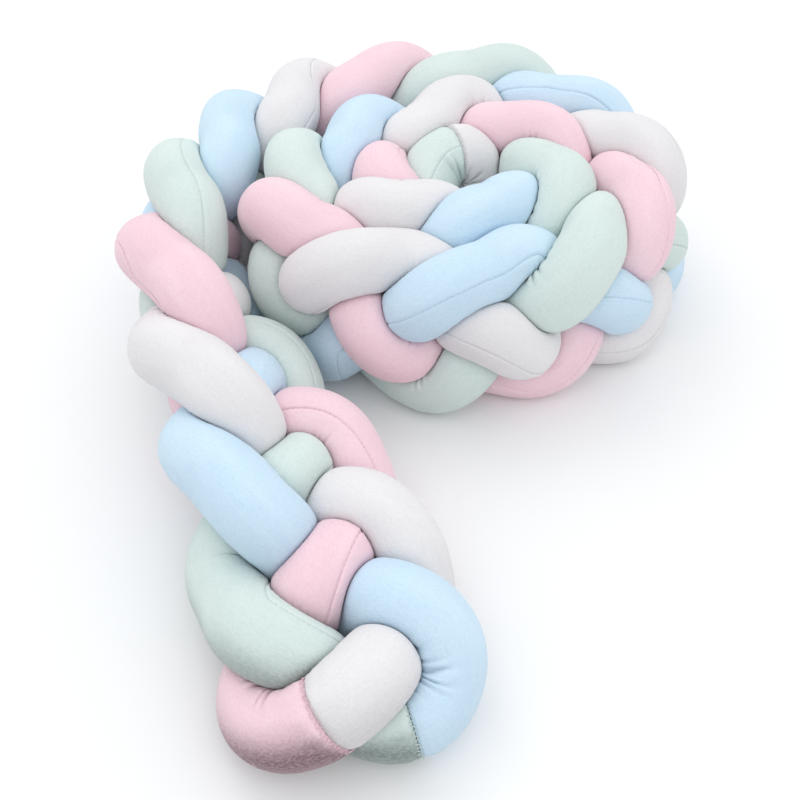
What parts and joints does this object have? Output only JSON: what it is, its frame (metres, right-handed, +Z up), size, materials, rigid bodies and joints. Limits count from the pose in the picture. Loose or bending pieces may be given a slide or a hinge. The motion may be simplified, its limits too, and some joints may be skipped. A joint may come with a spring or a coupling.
{
  "type": "crib bumper",
  "caption": "Braided tube bumper for a cot: a flat plait of stuffed velvet tubes, coiled on edge with one end laid out flat.",
  "frame": {"origin": "middle of the bounding box's footprint, on the surface it rests on", "axes": "+Z is up; +Y runs from the flat near end to the far side of the coil; +X is to the right seen from the near end"},
  "size_m": [0.6418, 0.8944, 0.1976],
  "materials": {
    "velvet_pink": "soft matt velvet with a faint sheen",
    "velvet_white": "soft matt velvet with a faint sheen",
    "velvet_mint": "soft matt velvet with a faint sheen",
    "velvet_blue": "soft matt velvet with a faint sheen"
  },
  "bodies": {
    "root": {"strand_pink": "velvet_pink", "strand_white": "velvet_white", "strand_mint": "velvet_mint", "strand_blue": "velvet_blue"}
  },
  "joints": []
}
